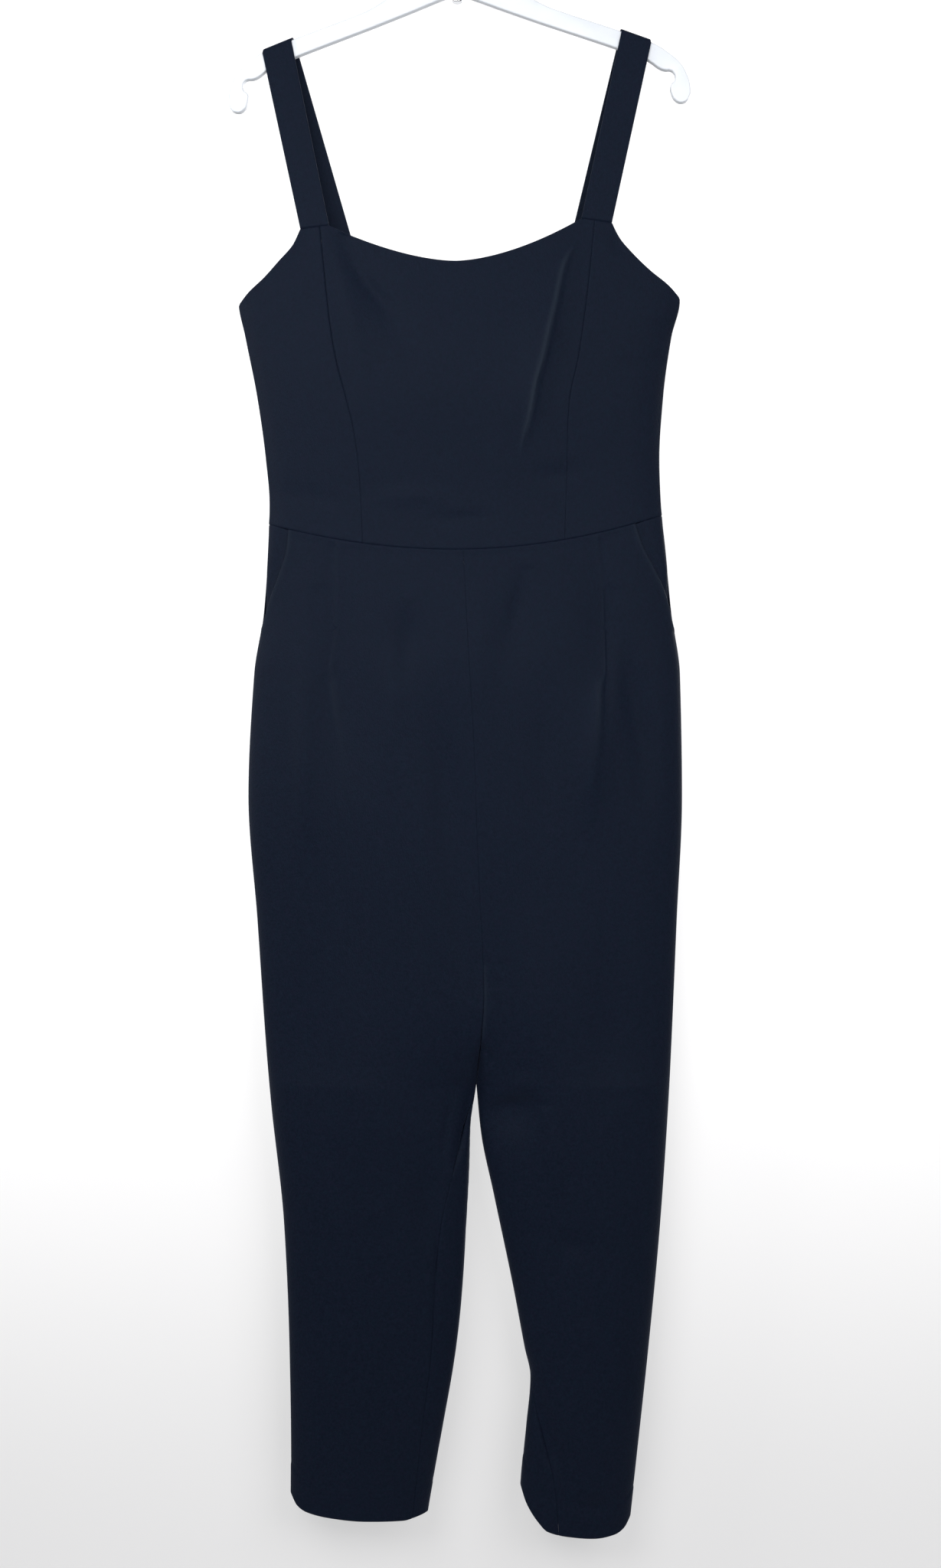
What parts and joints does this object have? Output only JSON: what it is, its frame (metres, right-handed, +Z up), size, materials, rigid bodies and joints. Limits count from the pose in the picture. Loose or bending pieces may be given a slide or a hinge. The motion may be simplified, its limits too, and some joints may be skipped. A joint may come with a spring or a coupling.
{
  "type": "sleeveless jumpsuit on a clothes hanger",
  "caption": "Sleeveless wide-strap jumpsuit with a princess-seamed bodice, slant pockets, pleated trousers and tapered legs, hung by its straps on a plastic hanger.",
  "frame": {"origin": "inside of the hook's crown, where a rail holds the hanger", "axes": "+Z up, the garment's front faces -Y, +X towards the wearer's left"},
  "size_m": [0.4399, 0.0676, 1.551],
  "materials": {
    "navy_crepe": "matt crepe with a fine grain and a faint cool sheen",
    "white_plastic": "smooth moulded white plastic",
    "hook_steel": "bright plated wire"
  },
  "bodies": {
    "root": {"bodice_front_centre": "navy_crepe", "bodice_front_right": "navy_crepe", "bodice_front_left": "navy_crepe", "bodice_back": "navy_crepe", "strap_right": "navy_crepe", "strap_left": "navy_crepe", "trouser_front_right": "navy_crepe", "trouser_front_left": "navy_crepe", "trouser_back_right": "navy_crepe", "trouser_back_left": "navy_crepe", "pocket_panel_right": "navy_crepe", "pocket_panel_left": "navy_crepe", "hanger_body": "white_plastic", "hanger_hook": "hook_steel"}
  },
  "joints": []
}
